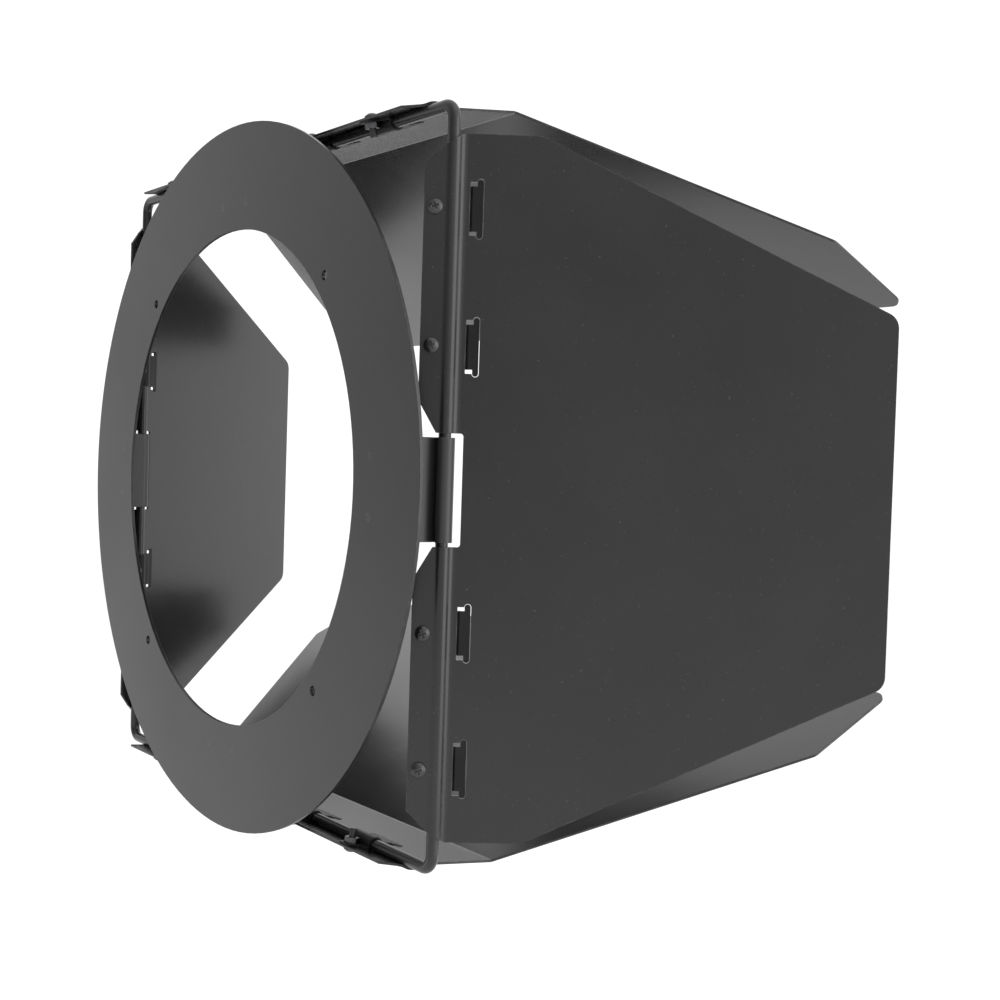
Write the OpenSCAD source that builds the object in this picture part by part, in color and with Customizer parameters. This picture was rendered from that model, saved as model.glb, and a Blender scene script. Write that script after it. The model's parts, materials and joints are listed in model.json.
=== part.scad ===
// Four-leaf barn door for a stage light, in millimetres.
// The beam runs along +X and +Z is up. The origin is the centre of the mounting ring's back face.
// Each leaf hangs on one side of a square rod frame. Its sheet steps up over the rod into a flange,
// and its clips pass under the rod from the flange to the sheet, so their grip holds the leaf.

/* [Mounting ring] */
// Outer diameter of the ring
ring_od = 327; // [320:1:334]
// Diameter of the hole that the beam passes through
ring_id = 230; // [220:1:232]
// Thickness of the ring
ring_t = 1.5; // [1:0.1:2]
// Diameter of the circle of mounting holes
mount_pcd = 246; // [244:1:250]
// Diameter of each mounting hole
mount_hole_d = 4.5; // [3.5:0.5:5]

/* [Rod frame] */
// Side of the square, between rod centre lines
frame_side = 300; // [299:1:303]
// Diameter of the rod
rod_d = 5; // [4.8:0.1:5.2]
// Bend radius at the corners, to the centre line
corner_r = 6; // [5:0.5:7]
// Distance from the ring's back face to the rod's centre line
rod_x = 20; // [19:0.5:24]

/* [Brackets] */
// Width of each bracket along the rod
bracket_w = 41; // [36:1:42]
// Thickness of the bracket strip
bracket_t = 1.5; // [1:0.1:1.6]
// Distance from the beam axis to the rivets
rivet_r = 127; // [126:0.5:132]
// Distance between the two rivets of a bracket
rivet_gap = 24; // [20:1:28]

/* [Leaves] */
// Thickness of the leaf sheet
sheet_t = 1; // [0.8:0.1:1.1]
// Radial running clearance on the rod
rod_gap = 0.05; // [0.03:0.01:0.08]
// Width of the flange behind the rod, from the rod's centre line
flange_w = 10.8; // [10.6:0.1:11.5]
// Height of the flange's mid-plane above the sheet's, away from the beam
flange_lift = 2.5; // [2.3:0.1:2.6]
// Half the width of the notch that clears a bracket
notch_half = 22.2; // [22:0.1:24]
// Depth of the notch in front of the rod's centre line
notch_depth = 7.2; // [6.8:0.1:8]

/* [Side leaves] */
// Depth of a side leaf from the rod to its outer edge
side_depth = 177; // [150:1:177]
// Half the width of a side leaf at the rod
side_half = 138.5; // [136:0.5:139]
// Half the width of a side leaf at its outer edge
side_half_out = 73; // [60:1:73]
// Depth at which the taper starts
side_straight = 34.5; // [30:0.5:40]
// Outward tilt of the side leaves at rest
side_tilt = 35; // [20:1:60]

/* [Top and bottom leaves] */
// Half the width of the hinge strip at the rod
wide_half = 139; // [136:0.5:140]
// Half the width of the hinge strip at the bend
bend_half = 130; // [126:0.5:134]
// Depth of the hinge strip, from the rod to the bend
strip_depth = 45; // [40:0.5:50]
// Inward bend of the main panel
bend_angle = 35; // [25:1:35]
// Depth of the main panel beyond the bend
panel_depth = 170; // [150:1:170]
// Depth of the flared stretch of the main panel
flare_depth = 118; // [100:1:125]
// Half the width of the main panel at its outer edge
panel_half = 213; // [190:1:213]
// Outward tilt of the hinge strip at rest
wide_tilt = 10; // [5:1:20]

/* [Clips and screws] */
// Thickness of the clip sheet
clip_t = 0.8; // [0.6:0.1:0.8]
// Outer clips of a side leaf, from its middle
side_clip_out = 109.5; // [105:0.5:112]
// Inner clips of a side leaf, from its middle
side_clip_in = 56; // [54:0.5:62]
// Outer clips of a top or bottom leaf, from its middle
wide_clip_out = 99.5; // [92:0.5:102]
// Inner clips of a top or bottom leaf, from its middle
wide_clip_in = 49; // [46:0.5:52]
// Distance from the rod's centre line to the screws
screw_u = 6.4; // [6.3:0.1:6.8]

/* [Hidden] */
SIDES = ["top", "right", "bottom", "left"];
$fn = 48;
eps = 0.01;

// Sides count from the top towards the right, as seen from behind the light
TOP = 0;
RIGHT = 1;
BOTTOM = 2;
LEFT = 3;

half_side = frame_side / 2;
half_t = sheet_t / 2;
curl_in = rod_d / 2 + rod_gap;
bump_r = curl_in + sheet_t;
arch_r = curl_in + clip_t;
hook_r = curl_in + bracket_t;
side_clips = [-side_clip_out, -side_clip_in, side_clip_in, side_clip_out];
wide_clips = [-wide_clip_out, -wide_clip_in, wide_clip_in, wide_clip_out];

flange_low = flange_lift - half_t;
flange_top = flange_lift + half_t;
foot_low = flange_low - clip_t;

// Concave fillets between the bump and the sheet, and between the bump and the flange
front_fillet = 3.5;
rear_fillet = 3;
// Half the width of the notch at the flange's free edge
notch_flare = 35.5;
// Each leaf's end is cut back from the sheet, over the rod, to the flange's free edge
end_cut_u = 4.5;
root_u = 3.5;
side_root_half = 133;
side_flange_half = 125.6;
wide_root_half = 131.3;
wide_flange_half = 128.4;
corner_out = 6.5;
corner_flare = 5;
leaf_bend_r = 1.5;
// Overlap of the two trims across the bend
bend_cut = 0.5;

// Slot for a clip's tongue: [start, end, half length] of its short and its long part
slot_short = [7, 9.8, 10.4];
slot_long = [9.6, 12.4, 11.7];
tongue_neck_half = 8.75;
tongue_head = [9.8, 12.15, 11.4];
tongue_head_r = 1.1;
tongue_rise = [7.15, 8];
// Depth of the tongue's mid-plane below the sheet's, towards the beam
tongue_drop = 0.4;
clip_foot_half = 4.25;
clip_foot_end = 10.4;
clip_flare = [5.5, 3.6];

// M3 pan-head screw, 8 long, and M3 hexagon nut
screw_d = 3;
screw_len = 8;
screw_hole_d = 3.3;
head_d = 5.9;
head_h = 2.2;
head_dome_r = 4;
recess = [3, 0.7, 1.2];
nut_across = 5.5;
nut_h = 2.4;
nut_bore_d = 3.05;

// Rivets, and the bracket's foot on the ring and free end behind the rod
rivet_d = 3.2;
rivet_hole_d = 3.3;
rivet_head_d = 6;
rivet_head_h = 1.2;
foot_r = 121;
foot_bend_r = 1;
hook_end = 167;

function unit(v) = v / norm(v);

// Points of the arc that rounds corner b between its neighbours a and c
function corner_arc(a, b, c, r) =
    let (
        to_a = unit(a - b),
        to_c = unit(c - b),
        half_angle = acos(to_a * to_c) / 2,
        centre = b + unit(to_a + to_c) * r / sin(half_angle),
        first = b + to_a * r / tan(half_angle) - centre,
        last = b + to_c * r / tan(half_angle) - centre,
        start = atan2(first.y, first.x),
        turn = (atan2(last.y, last.x) - start + 540) % 360 - 180,
        steps = max(3, round(abs(turn) / 9))
    )
    [for (i = [0:steps]) centre + r * [cos(start + turn * i / steps), sin(start + turn * i / steps)]];

// Outline whose corner i is rounded to radius radii[i], or left sharp at 0
function rounded(points, radii) =
    let (n = len(points))
    [for (i = [0:n - 1])
        each (radii[i] > 0
            ? corner_arc(points[(i + n - 1) % n], points[i], points[(i + 1) % n], radii[i])
            : [points[i]])];

// A half outline followed by its mirror image about the leaf's middle
function both_halves(half) =
    concat(half, [for (i = [len(half) - 1:-1:0]) [half[i].x, -half[i].y]]);

function both_radii(half) = concat(half, [for (i = [len(half) - 1:-1:0]) half[i]]);

// Places a child on a side of the frame. Its x runs from the rod to the leaf's outer edge,
// y points away from the beam, z runs along the rod, and the rod's centre line is the origin.
module on_side(side, tilt = 0) {
    translate([rod_x, 0, 0])
        rotate([90 * side, 0, 0])
            translate([0, 0, half_side])
                rotate([90, 0, 0])
                    rotate([0, 0, tilt])
                        children();
}

// Sheet with its inner face at y = low, from an outline in x and z
module sheet(low, thickness) {
    translate([0, low + thickness, 0])
        rotate([90, 0, 0])
            linear_extrude(thickness)
                children();
}

module along_rod(z0, z1) {
    translate([0, 0, z0])
        linear_extrude(z1 - z0)
            children();
}

// Ring sector between two radii, over an angle of less than 180 degrees
module arc_band(r_in, r_out, a0, a1) {
    reach = 4 * r_out;
    mid = (a0 + a1) / 2;
    intersection() {
        difference() {
            circle(r_out);
            circle(r_in);
        }
        polygon([
            [0, 0],
            reach * [cos(a0), sin(a0)],
            reach * [cos(mid), sin(mid)],
            reach * [cos(a1), sin(a1)]
        ]);
    }
}

module mounting_ring() {
    color("#37373a")
        rotate([0, 90, 0])
            difference() {
                cylinder(h = ring_t, d = ring_od, $fn = 180);
                translate([0, 0, -1])
                    cylinder(h = ring_t + 2, d = ring_id, $fn = 180);
                for (a = [45:90:315])
                    rotate([0, 0, a])
                        translate([mount_pcd / 2, 0, -1])
                            cylinder(h = ring_t + 2, d = mount_hole_d);
                for (a = [0:90:270], s = [-1, 1])
                    rotate([0, 0, a])
                        translate([rivet_r, s * rivet_gap / 2, -1])
                            cylinder(h = ring_t + 2, d = rivet_hole_d);
            }
}

module rod_frame() {
    corner_at = half_side - corner_r;
    color("#3b3b3f")
        translate([rod_x, 0, 0])
            rotate([0, 90, 0])
                for (a = [0:90:270])
                    rotate([0, 0, a]) {
                        translate([-corner_at, half_side, 0])
                            rotate([0, 90, 0])
                                cylinder(h = 2 * corner_at, d = rod_d);
                        translate([corner_at, corner_at, 0])
                            rotate_extrude(angle = 90)
                                translate([corner_r, 0])
                                    circle(d = rod_d);
                    }
}

// Bracket section: a foot on the ring, a strip inside the rod and a hook round its front
module bracket_profile() {
    foot_x = ring_t - rod_x;
    bend_out = foot_bend_r + bracket_t;
    arc_band(curl_in, hook_r, -90, 40);
    arc_band(curl_in, hook_r, 39, hook_end);
    translate([foot_x + bend_out, -hook_r])
        square([-foot_x - bend_out + eps, bracket_t]);
    translate([foot_x + bend_out, -curl_in - bend_out])
        arc_band(foot_bend_r, bend_out, 90, 180);
    translate([foot_x, foot_r - half_side])
        square([bracket_t, half_side - foot_r - curl_in - bend_out + eps]);
}

module bracket(side) {
    color("#333336")
        on_side(side)
            difference() {
                along_rod(-bracket_w / 2, bracket_w / 2)
                    bracket_profile();
                for (s = [-1, 1])
                    translate([-rod_x, rivet_r - half_side, s * rivet_gap / 2])
                        rotate([0, 90, 0])
                            cylinder(h = 2 * (ring_t + bracket_t), d = rivet_hole_d);
            }
}

// Rivet along +Z from the ring's back face, with its domed head on the bracket's foot
module rivet() {
    grip = ring_t + bracket_t;
    dome_r = (pow(rivet_head_d / 2, 2) + pow(rivet_head_h, 2)) / (2 * rivet_head_h);
    cylinder(h = grip, d = rivet_d);
    translate([0, 0, grip])
        intersection() {
            cylinder(h = rivet_head_h, d = rivet_head_d);
            translate([0, 0, rivet_head_h - dome_r])
                sphere(dome_r);
        }
}

module bracket_rivets() {
    color("#8b8b90")
        for (a = [0:90:270], s = [-1, 1])
            rotate([a, 0, 0])
                translate([0, s * rivet_gap / 2, rivet_r])
                    rotate([0, 90, 0])
                        rivet();
}

// Concave corner from the origin to the bump's circle and a flat at height y, for x > 0
module fillet_profile(y, r) {
    x = sqrt(pow(bump_r + r, 2) - pow(y + r, 2));
    difference() {
        polygon([[0, 0], [x, 0], [x, y + r]]);
        translate([x, y + r])
            circle(r);
    }
}

// Section of the hinge: the sheet in front, the bump over the rod and the raised flange behind
module hinge_profile() {
    difference() {
        union() {
            intersection() {
                circle(bump_r);
                translate([-bump_r, 0])
                    square([2 * bump_r, bump_r]);
            }
            fillet_profile(half_t, front_fillet);
            mirror([1, 0])
                fillet_profile(flange_top, rear_fillet);
            translate([-flange_w, flange_low])
                square([flange_w, sheet_t]);
        }
        translate([-flange_w - 1, -1])
            square([flange_w + 1, flange_low + 1]);
    }
}

module tongue_slot(at) {
    end_r = (slot_long[1] - slot_long[0]) / 2;
    translate([slot_short[0], at - slot_short[2]])
        square([slot_short[1] - slot_short[0], 2 * slot_short[2]]);
    translate([slot_long[0], at - slot_long[2] + end_r])
        square([slot_long[1] - slot_long[0], 2 * (slot_long[2] - end_r)]);
    for (s = [-1, 1])
        translate([slot_long[0] + end_r, at + s * (slot_long[2] - end_r)])
            circle(end_r);
}

// Notch through the flange, the bump and the sheet, wider at the flange's free edge
module notch() {
    polygon(rounded(
        [
            [-flange_w - 1, -notch_flare - 1],
            [-bump_r, -notch_half],
            [notch_depth, -notch_half],
            [notch_depth, notch_half],
            [-bump_r, notch_half],
            [-flange_w - 1, notch_flare + 1]
        ],
        [0, 0, 1.2, 1.2, 0, 0]
    ));
}

// Adds the hinge to a leaf's blank, trims both to the ends' outline, and cuts the openings
module hinged(outline, half_w, clips) {
    difference() {
        union() {
            children();
            intersection() {
                along_rod(-half_w, half_w)
                    hinge_profile();
                sheet(-1, bump_r + 2)
                    polygon(outline);
            }
        }
        along_rod(-half_w - 1, half_w + 1)
            circle(curl_in);
        translate([-curl_in, -curl_in, -half_w - 1])
            cube([2 * curl_in, curl_in, 2 * half_w + 2]);
        sheet(-sheet_t, bump_r + 2 * sheet_t)
            notch();
        sheet(-sheet_t, 2 * sheet_t)
            for (at = clips)
                tongue_slot(at);
        sheet(foot_low, 2 * sheet_t + clip_t)
            for (at = clips)
                translate([-screw_u, at])
                    circle(d = screw_hole_d);
    }
}

// Half outline of a leaf's end over the hinge, from the flange's free edge to the sheet
function end_cut(flange_half, root_half, half_w) = [
    [-flange_w, flange_half],
    [-root_u, root_half],
    [end_cut_u, half_w]
];

module side_leaf(side) {
    ends = end_cut(side_flange_half, side_root_half, side_half);
    half = [
        [0, side_root_half + (side_half - side_root_half) * root_u / (root_u + end_cut_u)],
        [end_cut_u, side_half],
        [side_straight, side_half],
        [side_depth, side_half_out]
    ];
    color("#2e2e30")
        on_side(side, side_tilt)
            hinged(both_halves(concat(ends, [[side_straight, side_half]])), side_half, side_clips)
                sheet(-half_t, sheet_t)
                    polygon(rounded(both_halves(half), both_radii([0, 0, 0, corner_out])));
}

// Section of a bent leaf across the rod, with its bend rounded on both faces
module bent_section() {
    shift = half_t * tan(bend_angle / 2);
    along = [cos(bend_angle), -sin(bend_angle)];
    normal = [sin(bend_angle), cos(bend_angle)];
    end = [strip_depth, 0] + (panel_depth + 1) * along;
    polygon(rounded(
        [
            [0, half_t],
            [strip_depth + shift, half_t],
            end + half_t * normal,
            end - half_t * normal,
            [strip_depth - shift, -half_t],
            [0, -half_t]
        ],
        [0, leaf_bend_r + sheet_t, 0, 0, leaf_bend_r, 0]
    ));
}

// Blank of a bent leaf: its section, less what lies outside the strip's and the panel's outlines
module bent_blank() {
    half = [
        [0, bend_half],
        [flare_depth, panel_half],
        [panel_depth, panel_half]
    ];
    reach = panel_half + 1;
    difference() {
        along_rod(-panel_half, panel_half)
            bent_section();
        for (s = [0, 1])
            mirror([0, 0, s]) {
                sheet(-2 * sheet_t, 4 * sheet_t)
                    polygon([
                        [-1, wide_root_half],
                        [0, wide_root_half],
                        [end_cut_u, wide_half],
                        [strip_depth, bend_half],
                        [strip_depth, reach],
                        [-1, reach]
                    ]);
            }
        translate([strip_depth, 0, 0])
            rotate([0, 0, -bend_angle])
                sheet(-2 * sheet_t, 4 * sheet_t)
                    difference() {
                        translate([-bend_cut, -reach])
                            square([panel_depth + 2 + bend_cut, 2 * reach]);
                        polygon(rounded(
                            both_halves(concat([[-bend_cut - 1, bend_half]], half)),
                            both_radii([0, 0, corner_flare, corner_out])
                        ));
                    }
    }
}

module wide_leaf(side) {
    ends = end_cut(wide_flange_half, wide_root_half, wide_half);
    color("#2e2e30")
        on_side(side, wide_tilt)
            hinged(both_halves(concat(ends, [[strip_depth, bend_half]])), wide_half, wide_clips)
                bent_blank();
}

// Clip section: a foot under the flange, an arch under the rod and a tongue in the slot
module clip_profile() {
    low = -half_t - clip_t;
    tongue_low = -tongue_drop - clip_t / 2;
    tongue_top = tongue_low + clip_t;
    difference() {
        union() {
            circle(arch_r);
            translate([-clip_foot_end, foot_low])
                square([clip_foot_end, clip_t]);
            translate([0, low])
                square([tongue_rise[0], clip_t]);
        }
        circle(curl_in);
        translate([-arch_r - 1, flange_low])
            square([2 * arch_r + 2, arch_r]);
        translate([0, -half_t])
            square([arch_r + 1, arch_r + 1]);
    }
    polygon([
        [tongue_rise[0] - eps, low],
        [tongue_rise[0] + 0.5, low],
        [tongue_rise[1] + 0.6, tongue_low],
        [tongue_head[1], tongue_low],
        [tongue_head[1], tongue_top],
        [tongue_rise[1], tongue_top],
        [tongue_rise[0], -half_t],
        [tongue_rise[0] - eps, -half_t]
    ]);
}

module clip(side, tilt, at) {
    half = [
        [-clip_foot_end, clip_foot_half],
        [-clip_flare[0], clip_foot_half],
        [-clip_flare[1], tongue_neck_half],
        [tongue_head[0], tongue_neck_half],
        [tongue_head[0], tongue_head[2]],
        [tongue_head[1], tongue_head[2]]
    ];
    radii = [1.5, 0, 0, 0, tongue_head_r, tongue_head_r];
    color("#2a2a2c")
        on_side(side, tilt)
            translate([0, 0, at])
                difference() {
                    intersection() {
                        along_rod(-tongue_head[2], tongue_head[2])
                            clip_profile();
                        sheet(-arch_r - 1, 2 * arch_r + 2)
                            polygon(rounded(both_halves(half), both_radii(radii)));
                    }
                    sheet(-arch_r - 1, 2 * arch_r + 2)
                        translate([-screw_u, 0])
                            circle(d = screw_hole_d);
                }
}

// Pan-head screw along -Z from the sheet's outer face, with a cross recess
module screw() {
    translate([0, 0, -screw_len])
        cylinder(h = screw_len, d = screw_d);
    difference() {
        intersection() {
            cylinder(h = head_h, d = head_d);
            translate([0, 0, head_h - head_dome_r])
                sphere(head_dome_r);
        }
        for (a = [0, 90])
            rotate([0, 0, a + 20])
                translate([-recess[0] / 2, -recess[1] / 2, head_h - recess[2]])
                    cube([recess[0], recess[1], recess[2] + 1]);
    }
}

module nut() {
    difference() {
        cylinder(h = nut_h, d = nut_across / cos(30), $fn = 6);
        translate([0, 0, -1])
            cylinder(h = nut_h + 2, d = nut_bore_d);
    }
}

module screws(side, tilt, places) {
    color("#1d1d1f")
        on_side(side, tilt)
            for (at = places)
                translate([-screw_u, flange_top, at])
                    rotate([-90, 0, 0])
                        screw();
}

module nuts(side, tilt, places) {
    color("#77777b")
        on_side(side, tilt)
            for (at = places)
                translate([-screw_u, foot_low, at])
                    rotate([90, 0, 0])
                        rotate([0, 0, 30])
                            nut();
}

mounting_ring();
rod_frame();
bracket_rivets();
bracket(TOP);  // bracket_top
bracket(RIGHT);  // bracket_right
bracket(BOTTOM);  // bracket_bottom
bracket(LEFT);  // bracket_left
wide_leaf(TOP);  // top_leaf
side_leaf(RIGHT);  // right_leaf
wide_leaf(BOTTOM);  // bottom_leaf
side_leaf(LEFT);  // left_leaf
clip(TOP, wide_tilt, wide_clips[0]);  // top_clip_1
clip(TOP, wide_tilt, wide_clips[1]);  // top_clip_2
clip(TOP, wide_tilt, wide_clips[2]);  // top_clip_3
clip(TOP, wide_tilt, wide_clips[3]);  // top_clip_4
clip(RIGHT, side_tilt, side_clips[0]);  // right_clip_1
clip(RIGHT, side_tilt, side_clips[1]);  // right_clip_2
clip(RIGHT, side_tilt, side_clips[2]);  // right_clip_3
clip(RIGHT, side_tilt, side_clips[3]);  // right_clip_4
clip(BOTTOM, wide_tilt, wide_clips[0]);  // bottom_clip_1
clip(BOTTOM, wide_tilt, wide_clips[1]);  // bottom_clip_2
clip(BOTTOM, wide_tilt, wide_clips[2]);  // bottom_clip_3
clip(BOTTOM, wide_tilt, wide_clips[3]);  // bottom_clip_4
clip(LEFT, side_tilt, side_clips[0]);  // left_clip_1
clip(LEFT, side_tilt, side_clips[1]);  // left_clip_2
clip(LEFT, side_tilt, side_clips[2]);  // left_clip_3
clip(LEFT, side_tilt, side_clips[3]);  // left_clip_4
screws(TOP, wide_tilt, wide_clips);  // top_screws
screws(RIGHT, side_tilt, side_clips);  // right_screws
screws(BOTTOM, wide_tilt, wide_clips);  // bottom_screws
screws(LEFT, side_tilt, side_clips);  // left_screws
nuts(TOP, wide_tilt, wide_clips);  // top_nuts
nuts(RIGHT, side_tilt, side_clips);  // right_nuts
nuts(BOTTOM, wide_tilt, wide_clips);  // bottom_nuts
nuts(LEFT, side_tilt, side_clips);  // left_nuts
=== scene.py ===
"""Barn door attachment: materials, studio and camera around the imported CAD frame."""

import json
import math

import bpy
from mathutils import Matrix, Vector


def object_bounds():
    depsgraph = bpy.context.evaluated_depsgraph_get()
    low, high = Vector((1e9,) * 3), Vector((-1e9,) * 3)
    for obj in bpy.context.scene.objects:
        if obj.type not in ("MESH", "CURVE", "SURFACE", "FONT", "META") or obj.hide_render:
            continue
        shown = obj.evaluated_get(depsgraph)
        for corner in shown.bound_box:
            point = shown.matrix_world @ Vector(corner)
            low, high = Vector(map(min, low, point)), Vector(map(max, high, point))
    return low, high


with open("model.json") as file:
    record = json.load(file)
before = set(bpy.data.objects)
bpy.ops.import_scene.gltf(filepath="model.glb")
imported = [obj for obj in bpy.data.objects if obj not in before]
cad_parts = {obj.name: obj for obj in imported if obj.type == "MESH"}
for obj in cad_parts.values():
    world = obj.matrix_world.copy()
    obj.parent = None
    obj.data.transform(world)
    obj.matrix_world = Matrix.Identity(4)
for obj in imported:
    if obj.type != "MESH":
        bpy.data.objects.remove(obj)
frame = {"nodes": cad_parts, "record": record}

# Camera: place in metres, turns in degrees, lens and sensor width in millimetres
CAMERA_AT = Vector((-0.2889, -0.5990, 0.0130))
CAMERA_HEADING = 53.13
CAMERA_PITCH = -1.70
CAMERA_ROLL = 1.83
CAMERA_LENS = 50.2
CAMERA_SENSOR = 36.0

# Floor: gap below the object and side in metres, colour, darkest share of it, and finish
FLOOR_GAP = 0.30
FLOOR_SIZE = 12.0
FLOOR_COLOR = (0.94, 0.94, 0.94)
FLOOR_SHADE = 0.985
FLOOR_ROUGH = 0.8
FLOOR_GLOW = 0.12

# The surround is bright ahead of the object and darkens towards the light's housing behind it.
# The fade is two cosines of the angle from straight ahead: [darkest, brightest]
SURROUND_AHEAD = (1.0, 0.0, 0.0)
SURROUND_BACK = 0.26
SURROUND_FRONT = 1.12
SURROUND_FADE = (-1.0, -0.1)

# Soft lights: place in metres, width and height in metres, watts
LAMPS = {
    "key": ((0.2, -0.9, 1.6), (1.6, 1.2), 4),
    "side_soft": ((0.9, -1.5, 0.3), (1.2, 1.6), 12),
    "back_fill": ((1.2, 1.4, 1.0), (1.6, 1.4), 3),
}

# Widths of the rounded highlight and of the worn band along sharp edges, in metres
EDGE_SOFTEN = 0.00035
EDGE_WEAR_REACH = 0.0008
# How far an edge turns the normal before it counts as worn, as a cosine: [none, full]
EDGE_TURN = (0.97, 0.80)
BEVEL_SAMPLES = 6
# Bands of noise that become: two tones, soft clouds, the breaks in worn edges, and dust
TONE_BAND = (0.35, 0.65)
CLOUD_BAND = (0.3, 0.7)
WEAR_BAND = (0.48, 0.66)
DUST_BAND = (0.74, 0.80)
# Noise sizes per metre
SCRATCH_SIZE = 160.0
DUST_SIZE = 900.0
STEEL_CLOUD_SIZE = 420.0
STEEL_GRAIN_SIZE = 3200.0
PAPER_CLOUD_SIZE = 3.0
# Share of the blotches in the roughness; the grain makes up the rest
BLOTCH_SHARE = 0.6
# Heights of the bumps, in metres
COAT_RELIEF = 0.00006
STEEL_RELIEF = 0.00005
# Worn paint is this metallic at full wear
WORN_METAL = 0.9
DUST_TONE = 0.16
# Slight blue tints of the coat's dark and light tones
DARK_TINT = 0.03
LIGHT_TINT = 0.05

# Each coat: its two tones, roughness range, grain and blotch sizes per metre, and the strengths of
# its bumps, worn edges, dust and gloss
COATS = {
    "leaf_paint": dict(dark=0.010, light=0.014, rough=(0.20, 0.28), grain=2600, blotch=14,
                       bump=0.16, wear=0.35, specks=0.25, gloss=0.5),
    "ring_paint": dict(dark=0.011, light=0.016, rough=(0.28, 0.38), grain=2400, blotch=12,
                       bump=0.14, wear=0.30, specks=0.2, gloss=0.5),
    "rod_paint": dict(dark=0.012, light=0.016, rough=(0.24, 0.32), grain=2000, blotch=30,
                      bump=0.10, wear=0.15, specks=0.15, gloss=0.5),
    "bracket_paint": dict(dark=0.018, light=0.024, rough=(0.30, 0.40), grain=2600, blotch=24,
                          bump=0.14, wear=0.45, specks=0.2, gloss=0.5),
    "clip_paint": dict(dark=0.006, light=0.010, rough=(0.36, 0.48), grain=2600, blotch=40,
                       bump=0.12, wear=0.30, specks=0.15, gloss=0.25),
    "rivet_metal": dict(dark=0.018, light=0.026, rough=(0.26, 0.38), grain=1800, blotch=60,
                        bump=0.08, wear=0.60, specks=0.15, gloss=0.5),
    "screw_black": dict(dark=0.010, light=0.016, rough=(0.22, 0.34), grain=2200, blotch=80,
                        bump=0.07, wear=0.75, specks=0.1, gloss=0.6),
}
BARE_STEEL = (0.34, 0.34, 0.35, 1.0)
STEEL_ROUGH = (0.28, 0.44)
STEEL_BUMP = 0.1
STEEL_DARK = (0.085, 0.085, 0.09, 1.0)
STEEL_LIGHT = (0.16, 0.16, 0.17, 1.0)


class Graph:
    """Short calls for building a material's node tree."""

    def __init__(self, name):
        self.material = bpy.data.materials.new(name)
        self.material.use_nodes = True
        self.tree = self.material.node_tree
        self.tree.nodes.clear()

    def node(self, kind, inputs=None, **settings):
        made = self.tree.nodes.new(kind)
        for key, value in settings.items():
            setattr(made, key, value)
        for key, value in (inputs or {}).items():
            if isinstance(value, bpy.types.NodeSocket):
                self.tree.links.new(value, made.inputs[key])
            else:
                made.inputs[key].default_value = value
        return made

    def noise(self, place, scale, detail, rough=0.55):
        return self.node("ShaderNodeTexNoise",
                         {"Vector": place, "Scale": scale, "Detail": detail, "Roughness": rough}
                         ).outputs["Fac"]

    def remap(self, value, source, target=(0.0, 1.0)):
        return self.node("ShaderNodeMapRange",
                         {"Value": value, "From Min": source[0], "From Max": source[1],
                          "To Min": target[0], "To Max": target[1]}).outputs["Result"]

    def math(self, operation, a, b):
        return self.node("ShaderNodeMath", {0: a, 1: b}, operation=operation).outputs[0]

    def mix(self, fac, a, b):
        """Mixes two colours. Inputs 6 and 7 and output 2 are the node's colour sockets."""
        made = self.node("ShaderNodeMix", data_type="RGBA")
        for socket, value in ((made.inputs[0], fac), (made.inputs[6], a), (made.inputs[7], b)):
            if isinstance(value, bpy.types.NodeSocket):
                self.tree.links.new(value, socket)
            else:
                socket.default_value = value
        return made.outputs[2]

    def bevel(self, reach):
        """Normal that turns smoothly round edges, over this reach."""
        return self.node("ShaderNodeBevel", {"Radius": reach},
                         samples=BEVEL_SAMPLES).outputs["Normal"]

    def relief(self, height, strength, distance):
        """Normal with fine bumps, over softly rounded edges."""
        return self.node("ShaderNodeBump",
                         {"Strength": strength, "Distance": distance, "Height": height,
                          "Normal": self.bevel(EDGE_SOFTEN)}).outputs["Normal"]

    def edge_mask(self, reach, noise):
        """1 on sharp edges, broken up by the noise, 0 elsewhere."""
        bevel = self.bevel(reach)
        flat = self.node("ShaderNodeNewGeometry").outputs["Normal"]
        dot = self.node("ShaderNodeVectorMath", {0: bevel, 1: flat}, operation="DOT_PRODUCT")
        edge = self.remap(dot.outputs["Value"], EDGE_TURN)
        broken = self.remap(noise, WEAR_BAND)
        return self.math("MULTIPLY", edge, broken)

    def finish(self, shader):
        self.node("ShaderNodeOutputMaterial", {"Surface": shader.outputs[0]})
        return self.material


def grey(value, tint=0.0):
    """Opaque grey, with its blue raised by the tint."""
    return (value, value, value * (1.0 + tint), 1.0)


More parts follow.
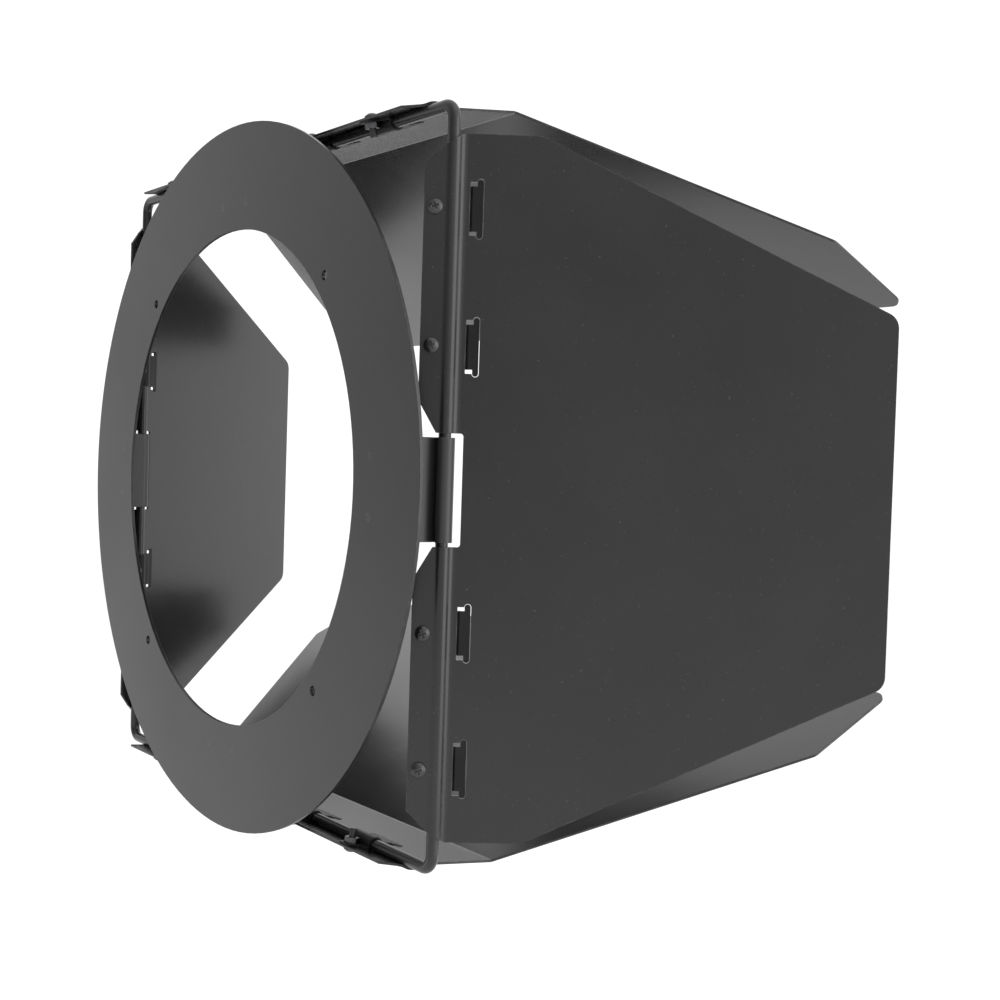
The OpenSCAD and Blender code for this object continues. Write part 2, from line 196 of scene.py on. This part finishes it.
def powder_coat(slot, coat):
    """Black powder coat: fine orange-peel grain, faint blotches, pale specks and worn edges."""
    g = Graph(slot)
    place = g.node("ShaderNodeTexCoord").outputs["Object"]
    blotch = g.noise(place, coat["blotch"], detail=4.0)
    grain = g.noise(place, coat["grain"], detail=2.0, rough=0.6)
    scratch = g.noise(place, SCRATCH_SIZE, detail=5.0, rough=0.7)
    speck = g.noise(place, DUST_SIZE, detail=1.0, rough=0.4)
    color = g.mix(g.remap(blotch, TONE_BAND),
                  grey(coat["dark"], DARK_TINT), grey(coat["light"], LIGHT_TINT))
    dust = g.math("MULTIPLY", g.remap(speck, DUST_BAND), coat["specks"])
    color = g.mix(dust, color, grey(DUST_TONE))
    worn = g.math("MULTIPLY", g.edge_mask(EDGE_WEAR_REACH, scratch), coat["wear"])
    color = g.mix(worn, color, BARE_STEEL)
    coarse = g.math("MULTIPLY", blotch, BLOTCH_SHARE)
    fine = g.math("MULTIPLY", grain, 1.0 - BLOTCH_SHARE)
    rough = g.remap(g.math("ADD", coarse, fine), TONE_BAND, coat["rough"])
    shader = g.node("ShaderNodeBsdfPrincipled",
                    {"Base Color": color, "Roughness": rough,
                     "Normal": g.relief(grain, coat["bump"], COAT_RELIEF),
                     "Metallic": g.math("MULTIPLY", worn, WORN_METAL),
                     "Specular IOR Level": coat["gloss"]})
    return g.finish(shader)


def plated_steel(slot):
    """Dark plated steel with cloudy patches and fine turning marks."""
    g = Graph(slot)
    place = g.node("ShaderNodeTexCoord").outputs["Object"]
    cloud = g.noise(place, STEEL_CLOUD_SIZE, detail=4.0)
    fine = g.noise(place, STEEL_GRAIN_SIZE, detail=3.0)
    color = g.mix(g.remap(cloud, TONE_BAND), STEEL_DARK, STEEL_LIGHT)
    rough = g.remap(cloud, CLOUD_BAND, STEEL_ROUGH)
    shader = g.node("ShaderNodeBsdfPrincipled",
                    {"Base Color": color, "Roughness": rough, "Metallic": 1.0,
                     "Normal": g.relief(fine, STEEL_BUMP, STEEL_RELIEF)})
    return g.finish(shader)


def dress(frame):
    """Gives every CAD node the material of its slot."""
    materials = {slot: powder_coat(slot, coat) for slot, coat in COATS.items()}
    materials["nut_metal"] = plated_steel("nut_metal")
    for part in frame["record"]["subparts"]:
        for slot in frame["nodes"][part["node"]].material_slots:
            slot.link = "OBJECT"
            slot.material = materials[part["material_slot"]]


def area_light(name, at, target, size, watts):
    lamp = bpy.data.lights.new(name, "AREA")
    lamp.shape = "RECTANGLE"
    lamp.size, lamp.size_y = size
    lamp.energy = watts
    made = bpy.data.objects.new(name, lamp)
    made.location = at
    made.rotation_euler = (Vector(target) - Vector(at)).to_track_quat("-Z", "Y").to_euler()
    bpy.context.scene.collection.objects.link(made)


def floor_paper():
    """Pale matt paper with a faint unevenness and a slight glow."""
    g = Graph("floor_paper")
    place = g.node("ShaderNodeTexCoord").outputs["Object"]
    cloud = g.remap(g.noise(place, PAPER_CLOUD_SIZE, detail=3.0), CLOUD_BAND)
    shade = tuple(c * FLOOR_SHADE for c in FLOOR_COLOR) + (1.0,)
    shader = g.node("ShaderNodeBsdfPrincipled",
                    {"Base Color": g.mix(cloud, shade, FLOOR_COLOR + (1.0,)),
                     "Roughness": FLOOR_ROUGH,
                     "Emission Color": (1.0, 1.0, 1.0, 1.0), "Emission Strength": FLOOR_GLOW})
    return g.finish(shader)


def studio(low, high):
    """Pale floor below the object, a bright surround and large soft lights."""
    half = FLOOR_SIZE / 2
    z = low.z - FLOOR_GAP
    mesh = bpy.data.meshes.new("floor")
    mesh.from_pydata([(-half, -half, z), (half, -half, z), (half, half, z), (-half, half, z)],
                     [], [(0, 1, 2, 3)])
    mesh.materials.append(floor_paper())
    floor = bpy.data.objects.new("floor", mesh)
    bpy.context.scene.collection.objects.link(floor)

    world = bpy.data.worlds.new("studio")
    world.use_nodes = True
    tree = world.node_tree
    background = tree.nodes["Background"]
    background.inputs["Color"].default_value = (1.0, 1.0, 1.0, 1.0)
    place = tree.nodes.new("ShaderNodeTexCoord").outputs["Generated"]
    front = tree.nodes.new("ShaderNodeVectorMath")
    front.operation = "DOT_PRODUCT"
    front.inputs[1].default_value = SURROUND_AHEAD
    fade = tree.nodes.new("ShaderNodeMapRange")
    fade.inputs["From Min"].default_value, fade.inputs["From Max"].default_value = SURROUND_FADE
    fade.inputs["To Min"].default_value = SURROUND_BACK
    fade.inputs["To Max"].default_value = SURROUND_FRONT
    tree.links.new(place, front.inputs[0])
    tree.links.new(front.outputs["Value"], fade.inputs["Value"])
    tree.links.new(fade.outputs["Result"], background.inputs["Strength"])
    bpy.context.scene.world = world
    bpy.context.scene.view_settings.view_transform = "Standard"

    centre = (low + high) / 2
    for name, (at, size, watts) in LAMPS.items():
        area_light(name, at, centre, size, watts)


def camera():
    """The photograph's view of the object."""
    data = bpy.data.cameras.new("camera")
    data.sensor_width = CAMERA_SENSOR
    data.lens = CAMERA_LENS
    heading, pitch, roll = (math.radians(a) for a in (CAMERA_HEADING, CAMERA_PITCH, CAMERA_ROLL))
    forward = Vector((math.cos(heading) * math.cos(pitch),
                      math.sin(heading) * math.cos(pitch), math.sin(pitch)))
    level = Vector((math.sin(heading), -math.cos(heading), 0.0))
    upright = level.cross(forward)
    right = math.cos(roll) * level + math.sin(roll) * upright
    up = math.cos(roll) * upright - math.sin(roll) * level
    made = bpy.data.objects.new("camera", data)
    turn = Matrix((right, up, -forward)).transposed().to_4x4()
    made.matrix_world = Matrix.Translation(CAMERA_AT) @ turn
    bpy.context.scene.collection.objects.link(made)
    bpy.context.scene.camera = made


cad_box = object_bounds()
dress(frame)
studio(*cad_box)
camera()
